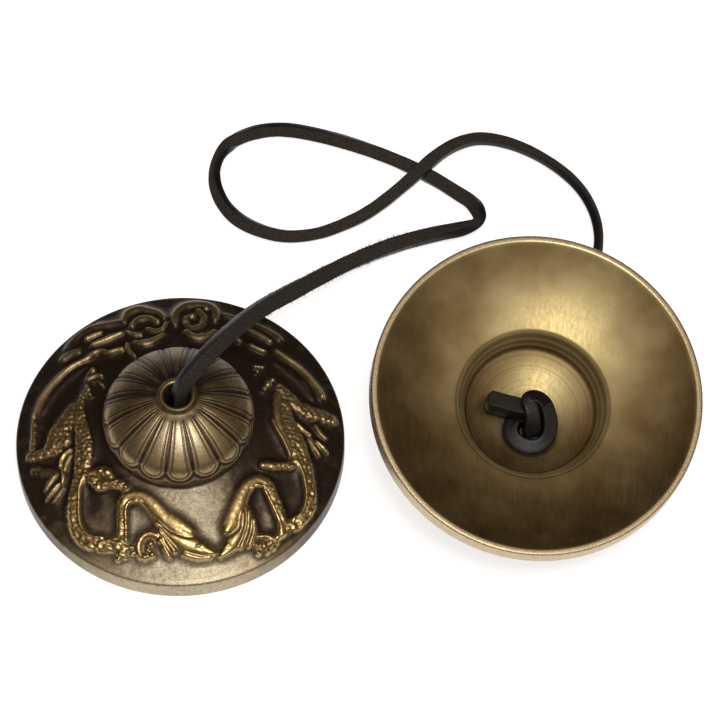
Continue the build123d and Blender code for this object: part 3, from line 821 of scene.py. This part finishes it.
roll([(13.6, 18.8), (15, 18.1), (16.4, 17.6)], 1.2, 0.5)
print("the right dragon's body is laid")

# %% The right dragon's feet
roll([(22.8, 1.2), (24.2, -0.1), (25.6, -0.9)], 1.3, 0.45, 0.55, 0.3)
roll([(26.8, -2), (27.8, -3), (29, -4.1)], 1.25, 0.45, 0.55, 0.3)
roll([(25.4, -1.6), (26.4, -3.2), (27.4, -4.8)], 0.9, 0.8, 0.7, 0.4)
roll([(26.6, 1.6), (27.6, 0.2), (28.8, -1)], 0.8, 0.7, 0.7, 0.4)
roll([(16.4, -8.8), (17.4, -8.6), (18.4, -8.8)], 1.15, 1, 1.15, 0.9)
limb([(18, -8.7), (19.8, -8.4), (21.4, -8.1), (22.8, -7.3)], 1.1, 0.4, 0.95, 1.05)
drops(1.3, (16, 13.2, 0.5), (14.6, 13.2, 0.55), (15.3, 13.2, 0.5), (17.2, 9.3, 0.95), (16.5, 8, 0.7),
      (18, 10.4, 0.7), (15, 12, 0.45), (23, 4.9, 0.6), (19.4, -8.3, 0.6), (21, -7.9, 0.6))
print("the right dragon has its feet")

# %% The right dragon's neck and head
roll([(10.2, -21), (11.5, -17.6), (12.6, -14.8), (13.8, -12.9), (15.3, -11.9), (16.8, -12)], 1.3, 2,
     1.95, 1.75, 1.5, 1.35, 1.3)
limb([(16.6, -12), (17.4, -12.6), (18.4, -14.6), (19.5, -17), (20.2, -19.4), (20.2, -21.6)], 1.15, 0.4,
     1.3, 1.4, 1.15, 1)
roll([(16.6, -13.6), (17.8, -15.8), (18.8, -17.8), (19.7, -19.8), (20, -21.6)], 1.45, 0.3, 0.42, 0.35)
roll([(14.3, -13.7), (15, -13), (15.8, -12.8), (16.6, -13)], 1.45, 0.42, scaly=0.3)
roll([(12.8, -18), (12.9, -21), (12.5, -24)], 1, 1.6, 2, 1.6)
roll([(10.6, -20.2), (10, -21.2), (9.6, -22)], 1.35, 1.8, 1.6, 1.2)
roll([(11.8, -22.8), (10.6, -24.3), (9.4, -25.8), (8.5, -26.7)], 1.5, 1.6, 1.8, 1.4, 0.8, flat=2.4)
for strand in ([(12.6, -18.6), (12.5, -20.6), (12, -22.8)],
               [(13.6, -18.2), (13.6, -20.8), (13, -23), (12.2, -25)],
               [(14.5, -19.6), (14.6, -22), (13.8, -24.6)]):
    roll(strand, 1.5, 0.75, 0.9, 0.6)
score([(13.1, -18.2), (13.1, -20.6), (12.5, -22.8), (11.7, -24.6)], 0.5, 0.16)
score([(14.1, -19.2), (14.1, -21.6), (13.4, -23.8), (12.7, -25.4)], 0.5, 0.16)
score([(8.8, -23), (10, -22.8), (11.2, -22.1), (12, -21)], 0.65, 0.18)
score([(8.9, -27.2), (10.2, -26.6), (11.4, -25.8)], 0.5, 0.18)
drops(2, (9.7, -25, 0.65))
score([(9.6, -25.1), (9.8, -25.1)], 0.6, 0.22)
# The curled claw.
roll([(15.8, -22.7), (17.2, -22.5), (18.6, -22.9), (19.2, -23.6)], 1.25, 0.55, 0.65, 0.5)
drops(1.35, (16.7, -24.4, 1), (18, -23.7, 0.9), (15.6, -25.8, 0.75), (15.2, -24.4, 0.7),
      (19.4, -22.4, 0.8), (17.4, -25.5, 0.7), (18.6, -24.8, 0.6))
print("both dragons face each other")

# %% The clouds at the back
roll([(-11.6, 25.4), (-11, 27.6), (-9.2, 28.8), (-7.2, 28.3), (-5, 27.4), (-3.6, 25.8)], 1, 0.9, 1.25,
     1.25, 1, 0.7)
roll([(-9.9, 23.8), (-8.8, 25.6), (-6.8, 25.9), (-5.3, 24.8)], 1, 0.9, 1, 0.9)
roll([(-6.8, 22.6), (-5, 21.9), (-3.6, 22.6), (-3.2, 24)], 1, 0.8, 0.9, 0.7)
roll([(-10.8, 22.2), (-9.6, 21.4), (-8, 21.2)], 1, 0.7, 0.8, 0.6)
roll([(-9, 19), (-7.4, 18.6), (-5.6, 19.2), (-3.6, 20.7)], 1.15, 0.8, 1, 0.7)
roll([(-1.3, 24), (-1.4, 26.8), (0, 29), (2.5, 29.8), (5, 29.4), (6.5, 27.8), (6.6, 25.6)], 1, 0.8, 1.2,
     1.25, 0.9)
roll([(3.2, 27.8), (4.3, 25.8), (3.9, 23.6), (2.2, 22.6), (0.9, 23.6), (0.9, 25.6), (2.2, 26.2)], 1,
     0.9, 1, 0.8)
roll([(1, 21.6), (2.6, 20.2), (5, 20.4), (6.6, 21.8)], 1.15, 0.8, 1.05, 0.7)
roll([(-22.8, 19.8), (-21.4, 22.4), (-18.6, 24.4), (-15.6, 25), (-12.6, 25.4)], 0.75, 0.8, 1, 0.9)
roll([(-19, 21.4), (-17.6, 22.1), (-16, 22.7)], 1.2, 0.55, 0.65, 0.5)
roll([(-17.6, 19.7), (-14.8, 20.8), (-11.8, 22)], 1.2, 0.6, 0.7, 0.5)
roll([(-10.7, 18.8), (-10.2, 16.8), (-9, 15.3)], 1.1, 0.55, 0.6, 0.5)
roll([(-23.6, 17.2), (-22, 18.4), (-20.4, 18.6)], 0.8, 0.8, 0.9, 0.7)
roll([(8.2, 23), (9.8, 21), (11.6, 19.6)], 1.1, 0.6, 0.7, 0.5)
roll([(12.8, 23.4), (15.4, 22), (17.6, 20.6)], 1, 0.6, 0.7, 0.5)
roll([(8.6, 27), (11, 26), (13.6, 25), (16.4, 23.8), (19.4, 21.8)], 0.75, 0.8, 0.95, 0.8)
drops(1.3, (-4.8, 24.6, 0.6), (-10, 23.9, 0.6), (-3.7, 22.5, 0.6), (-7.4, 18.8, 0.9),
      (-10.3, 21.7, 0.5), (2, 26.1, 0.6), (0.8, 23.8, 0.6), (4.7, 28.4, 0.6), (4, 20.5, 0.9),
      (6.3, 21.9, 0.5))
print("the clouds close the ring")

# %% The board's hollows
def softened(board, half):
    """The board seen with a soft eye: each place becomes the mean of its surroundings."""
    reach = int(3 * half / BOARD_STEP)
    weights = np.exp(-(np.arange(-reach, reach + 1) * BOARD_STEP / half)**2 / 2)
    weights = weights / weights.sum()
    for axis in (0, 1):
        board = np.apply_along_axis(np.convolve, axis, board, weights, mode="same")
    return board


# Cast skin is never quite flat: a fine grain and slow waves lie over everything.
grain = softened(rng.normal(0, 1, relief.shape), 0.22)
waves = softened(rng.normal(0, 1, relief.shape), 0.8)
# Wax slumps: each roll stands on a soft foot, which fills the gaps between close neighbours.
relief = softened(np.maximum(relief, 0.9 * softened(relief, 0.75)), 0.11)
relief = relief + 0.013 * grain / grain.std() + 0.006 * waves / waves.std()
hollow = softened(relief, 0.7) - relief
print("hollows run from", round(hollow.min(), 2), "to", round(hollow.max(), 2))

# %% [markdown]
# ## Wrapping the carving
# The board is laid on the cast plate: each point of the plate is pushed out by what the board says
# there. The same step notes how dark and how pale each point is: patina stays in hollows, hands
# polish what stands proud, and light and shade are painted in toward the front and the back.

# %% Finding the plate and the boss
CARVED_EDGE = 31.8
spots = np.array([v.co for v in casting.data.vertices]) / MM
radius = np.hypot(spots[:, 0], spots[:, 1])
height = spots[:, 2]
slope = math.atan2(FOOT_HEIGHT - RIM_HEIGHT, RIM_RADIUS - FOOT_RADIUS)
plate_height = RIM_HEIGHT + (RIM_RADIUS - radius) * math.tan(slope)
on_plate = (radius > FOOT_RADIUS) & (radius < CARVED_EDGE) & (abs(height - plate_height) < 0.05)
from_crown = np.hypot(radius, height - CROWN[1]) - CROWN_RADIUS
from_belt = np.hypot(radius - BELT[0], height - BELT[1]) - BELT_RADIUS
in_crown = (abs(from_crown) < 0.02) & (radius < 13.3)
in_belt = (abs(from_belt) < 0.02) & (radius > 13.1)
boss = in_crown | in_belt
rim = (radius > 31.4) & (height < 5.2)
print("the plate has", int(on_plate.sum()), "places and the boss has", int(boss.sum()))


# %% Wrapping the carving on the plate
def on_board(board, x, y):
    """Reads the board between its marks."""
    u, v = (x + BOARD_HALF) / BOARD_STEP, (y + BOARD_HALF) / BOARD_STEP
    i, j = np.floor(u).astype(int), np.floor(v).astype(int)
    p, q = u - i, v - j
    return (board[j, i] * (1 - p) * (1 - q) + board[j, i + 1] * p * (1 - q)
            + board[j + 1, i] * (1 - p) * q + board[j + 1, i + 1] * p * q)


def eased(value, low, high):
    """Goes softly from 0 at low to 1 at high."""
    share = ((value - low) / (high - low)).clip(0, 1)
    return share * share * (3 - 2 * share)


raised = np.zeros(len(spots))
# How dark each point is: patina, and painted shade.
patina_and_shade = np.zeros(len(spots))
# How pale each point is: rubbing, and painted light.
rubbed_and_lit = np.zeros(len(spots))
depth = np.zeros(len(spots))
x, y = spots[on_plate, 0], spots[on_plate, 1]
fade = eased(radius, FOOT_RADIUS, FOOT_RADIUS + 0.8) * eased(CARVED_EDGE - radius, 0, 0.8)
raised[on_plate] = on_board(relief, x, y) * fade[on_plate]
depth[on_plate] = on_board(hollow, x, y)
# The ground is painted paler in front and darker at the sides and back: painted light and shade,
# with some rubbing in front. It is a little darker near the boss. What stands proud is rubbed, and
# is painted darker toward the sides and back as shade; its crests are lighter, partly rubbed and
# partly a painted highlight.
turn = np.degrees(np.arctan2(spots[:, 1], spots[:, 0]))
from_front = abs(turn + 90)
front = 1 - eased(from_front, 15, 62)
rubbed = eased(raised, 0.3, 1.15)
ground_patina_and_shade = 0.92 - 0.65 * front + 0.13 * eased(-radius, -27, -24)
proud_patina_and_shade = 0.11 + 0.42 * eased(from_front, 25, 140)
patina_and_shade[on_plate] = (ground_patina_and_shade * (1 - rubbed) + proud_patina_and_shade * rubbed + 0.6 * eased(depth, 0.05, 0.36)
                    - 0.25 * eased(-depth, 0.08, 0.4)).clip(0, 1)[on_plate]
rubbed_and_lit[on_plate] = (front * (1 - rubbed))[on_plate]
# The rim is painted paler in front and darker at the sides and back: painted light and shade.
patina_and_shade[rim] = (0.9 - 0.7 * front)[rim]
rubbed_and_lit[rim] = front[rim]
print("the plate's carving rises", round(raised.max(), 2), "mm")

# %% [markdown]
# ## The lotus boss
# The boss is a lotus. Sixteen petals run from the collar round the hole down to rounded tips near the
# foot. A broad groove parts each petal from the next, and a fine line follows its edge inside.

# %% The petals
# They are measured across from their middle line and up from the foot of the boss.
PETALS = 16
PETAL_TURN = 2.35
TIP_RADIUS, TIP_RISE = 14.7, 3.0
half_turn = 180 / PETALS
from_middle = np.radians((turn - PETAL_TURN + half_turn) % (2 * half_turn) - half_turn) * radius
belt_turn = np.arctan2(height - BELT[1], radius - BELT[0])
crown_turn = np.arctan2(radius, height - CROWN[1])
up_belt = BELT_RADIUS * (belt_turn + math.radians(BELT_END))
up_crown = (BELT_RADIUS * math.radians(BELT_END + shoulder)
            + CROWN_RADIUS * (math.radians(90 - shoulder) - crown_turn))
up = np.where(in_belt, up_belt, up_crown)
half = radius * math.pi / PETALS
tip_half = TIP_RADIUS * math.pi / PETALS
tip = TIP_RISE + tip_half
within = np.where(up < tip, tip_half - np.hypot(from_middle, up - tip), half - abs(from_middle))
shown = eased(radius, 4.4, 5.8)
parting = np.exp(-(within / np.interp(radius, (5, 11), (0.14, 0.32)))**2)
below = eased(-within, 0.2, 0.9)
edge_line = np.exp(-((within - np.interp(radius, (5, 8, 12), (0.45, 0.75, 1.05))) / 0.16)**2)
swell = (1 - (from_middle / half)**2).clip(0, 1)
cut = np.interp(radius, (5, 8, 12), (0.45, 0.6, 1.0))
petal = shown * (0.06 * swell - 0.36 * cut * parting - 0.17 * cut * edge_line)
petal = petal - 0.15 * np.exp(-((radius - 4.7) / 0.6)**2)
raised[boss] = (petal * eased(up, 0.0, 0.4))[boss]
# The boss's patina is darkest in its grooves and at its collar. It is painted darker at its back and
# at its lowest, overhung part as shade, and a pale spot on its front is a painted highlight.
collar = eased(-radius, -6.2, -4.6)
painted_highlight = np.exp(-(spots[:, 0] / 9)**2 - ((spots[:, 1] + 8.5) / 4.8)**2)
patina_and_shade[boss] = (0.44 - 0.44 * painted_highlight + 0.22 * eased(from_front, 60, 150)
                + shown * (0.95 * parting + 0.6 * edge_line) * (1 - 0.5 * painted_highlight) + 0.25 * collar
                + 0.3 * below + 0.2 * eased(-up, -2.6, 0)).clip(0, 1)[boss]
rubbed_and_lit[boss] = (0.8 * painted_highlight)[boss]
mouth_ring = (radius < 3.95) & (height > 21)
patina_and_shade[mouth_ring] = (0.1 + 0.7 * eased(abs(radius - 3.0), 0.15, 0.5))[mouth_ring]
foot_dark = np.exp(-((radius - FOOT_RADIUS - 0.1) / 0.55)**2)
patina_and_shade = np.maximum(patina_and_shade, 0.95 * foot_dark * (on_plate | in_belt) * (height < 12.6))
print("the petals are cut", round(-raised[boss].min(), 2), "mm deep")

# %% The casting's new skin
outward = spots[:, :2] / np.maximum(radius, 1e-6)[:, None]
plate_lean = np.full(len(spots), math.pi / 2 - slope)
normal = np.zeros_like(spots)
normal[in_crown] = (spots - np.array((0, 0, CROWN[1])))[in_crown] / CROWN_RADIUS
for place, lean in ((on_plate, plate_lean), (in_belt, belt_turn)):
    normal[place] = np.column_stack([outward * np.cos(lean)[:, None], np.sin(lean)])[place]
spots = spots + normal * raised[:, None]
casting.data.vertices.foreach_set("co", (spots * MM).astype(np.float32).ravel())
for label, values in (("patina_and_shade", patina_and_shade), ("turning", radius * MM), ("rubbed_and_lit", rubbed_and_lit)):
    note(casting, label, values)
casting.data.update()
print("the casting is", round(spots[:, 2].max(), 2), "mm high")

# %% The pair
LEFT_PLACE = (-0.035, 0, 0)
RIGHT_PLACE = (0.035, -0.0006, 0.024242)
pick(casting)
bpy.ops.object.duplicate()
second = bpy.context.object
second.name = "cymbal_right"
# The second cymbal's rim is rubbed bright all round.
note(second, "patina_and_shade", np.where(rim, 0.06, patina_and_shade))
note(second, "rubbed_and_lit", np.where(rim, 0.7, rubbed_and_lit))
casting.data.transform(Matrix.Translation(LEFT_PLACE))
down = -LEAN
side = (Vector((1, 0, 0)) - down.x * down).normalized()
upturned = Matrix((side, down.cross(side), down)).transposed().to_4x4()
second.data.transform(Matrix.Translation(RIGHT_PLACE) @ upturned)
print("the pair is laid out")

# %% [markdown]
# ## The finishes
# The carved side keeps the dark brown patina of a dipped casting, rubbed back to yellow brass on all
# that stands proud. The inside is turned bare and shows the lathe's fine rings and years of handling.

# %% The carved brass
GOLD_LOW, GOLD_HIGH = (0.42, 0.30, 0.12), (0.60, 0.45, 0.20)
# The pale rubbed brass also paints light: the front of the plate and rim, and a highlight on the boss.
RUBBED_AND_LIT_LOW, RUBBED_AND_LIT_HIGH = (0.41, 0.34, 0.22), (0.66, 0.56, 0.385)
# The dark brown stands for patina, and also for painted shade at the back, the sides and the boss's
# foot.
PATINA_AND_SHADE_BROWN = (0.040, 0.025, 0.014)
tree, surface = clean_tree(carved_brass)
dark = noted(tree, "patina_and_shade")
rubbed_and_lit_share = noted(tree, "rubbed_and_lit")
stain = stretch(tree, mottle(tree, 420, 6), 0.36, 0.74)
stained = reckon(tree, "MULTIPLY", stain, stretch(tree, dark, 0, 1, 0.06, 0.35))
age_and_shade = reckon(tree, "ADD", dark, stained)
gold = mixed(tree, stretch(tree, mottle(tree, 1500, 3), 0.35, 0.65), GOLD_LOW, GOLD_HIGH)
pits = mottle(tree, 2600, 3)
bright = mixed(tree, stretch(tree, pits, 0.36, 0.64), RUBBED_AND_LIT_LOW, RUBBED_AND_LIT_HIGH)
metal = mixed(tree, rubbed_and_lit_share, gold, bright)
tree.links.new(mixed(tree, age_and_shade, metal, PATINA_AND_SHADE_BROWN), surface.inputs["Base Color"])
tree.links.new(stretch(tree, age_and_shade, 0, 1, 1.0, 0.6), surface.inputs["Metallic"])
dull = reckon(tree, "ADD", stretch(tree, age_and_shade, 0, 1, 0.28, 0.40), stretch(tree, rubbed_and_lit_share, 0, 1, 0, 0.12))
tree.links.new(dull, surface.inputs["Roughness"])
rough_up(tree, surface, pits, 0.45, 0.00005)
print("carved brass is mixed")

# %% The turned brass
BARE_LOW, BARE_HIGH = (0.29, 0.215, 0.092), (0.40, 0.32, 0.15)
GROOVE_BROWN = (0.16, 0.11, 0.045)
SPECK_BROWN = (0.16, 0.105, 0.045)
tree, surface = clean_tree(turned_brass)
away = noted(tree, "turning")
ring = node(tree, "ShaderNodeCombineXYZ")
tree.links.new(away, ring.inputs["X"])
lathe = mottle(tree, 1900, 4, ring.outputs["Vector"])
# Inside the cup the lathe's rings stay sharp. The dish is worn by rims that met it and by hands.
in_cup = stretch(tree, away, 0.0156, 0.0150)
rings = reckon(tree, "MULTIPLY", lathe, stretch(tree, in_cup, 0, 1, 0.2, 1.0))
turned_over = node(tree, "ShaderNodeMapping", {"Rotation": (0, 0, 0.45), "Scale": (1.0, 0.06, 1.0)})
tree.links.new(node(tree, "ShaderNodeTexCoord").outputs["Object"], turned_over.inputs["Vector"])
scratches = mottle(tree, 1900, 3, turned_over.outputs["Vector"])
haze = mottle(tree, 120, 5)
specks = stretch(tree, mottle(tree, 1300, 4), 0.64, 0.74)
bare = mixed(tree, stretch(tree, haze, 0.36, 0.66), BARE_LOW, BARE_HIGH)
grooved = mixed(tree, stretch(tree, rings, 0.42, 0.62, 0, 0.35), bare, GROOVE_BROWN)
spotted = mixed(tree, reckon(tree, "MULTIPLY", specks, 0.3), grooved, SPECK_BROWN)
tree.links.new(spotted, surface.inputs["Base Color"])
wear = reckon(tree, "ADD", reckon(tree, "MULTIPLY", scratches, 0.5),
              reckon(tree, "MULTIPLY", haze, 0.5))
# The lip's rings hold dirt and are duller than the rest.
on_lip = reckon(tree, "MULTIPLY", stretch(tree, away, 0.0128, 0.0132),
                stretch(tree, away, 0.0153, 0.0149))
tree.links.new(stretch(tree, on_lip, 0, 1, 1.0, 0.55), surface.inputs["Metallic"])
dull = reckon(tree, "ADD", stretch(tree, wear, 0.32, 0.68, 0.33, 0.46),
              stretch(tree, on_lip, 0, 1, 0, 0.2))
tree.links.new(dull, surface.inputs["Roughness"])
cuts = reckon(tree, "ADD", rings, reckon(tree, "MULTIPLY", scratches, 0.25))
rough_up(tree, surface, cuts, 0.3, 0.00004)
print("turned brass is mixed")

# %% The leather
FLESH_LOW, FLESH_HIGH = (0.030, 0.026, 0.021), (0.086, 0.075, 0.060)
GRAIN_BLACK = (0.0050, 0.0048, 0.0055)
leather = bpy.data.materials.new("leather")
tree, surface = clean_tree(leather)
nap = mottle(tree, 3600, 4)
side_share = stretch(tree, noted(tree, "flesh"), 0.55, 0.98)
brown = mixed(tree, stretch(tree, nap, 0.35, 0.7), FLESH_LOW, FLESH_HIGH)
tree.links.new(mixed(tree, side_share, GRAIN_BLACK, brown), surface.inputs["Base Color"])
tree.links.new(stretch(tree, side_share, 0, 1, 0.42, 0.9), surface.inputs["Roughness"])
tree.links.new(stretch(tree, side_share, 0, 1, 0.45, 0.12), surface.inputs["Specular IOR Level"])
rough_up(tree, surface, nap, 0.6, 0.0001)
for piece in (left_bend, lace, right_bend, left_knot, right_knot):
    piece.data.materials.append(leather)
print("leather is mixed")

# %% [markdown]
# ## Hanging it together
# Each cymbal, each knot and the lace's middle length follow their own body of the imported part; the
# two short bends of the lace are fixed where they lie.

# %% Hanging it together
for piece, body, node_name in ((casting, "left_cymbal", "left_cymbal"),
                               (second, "right_cymbal", "right_cymbal")):
    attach(piece, body)
    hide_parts(node_name)
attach(left_knot, "left_end")
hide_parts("left_knot")
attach(right_knot, "right_end")
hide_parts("right_knot")
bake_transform(left_bend)
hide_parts("left_thong_bend")
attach(lace, "thong")
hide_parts("thong")
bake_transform(right_bend)
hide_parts("right_thong_bend")
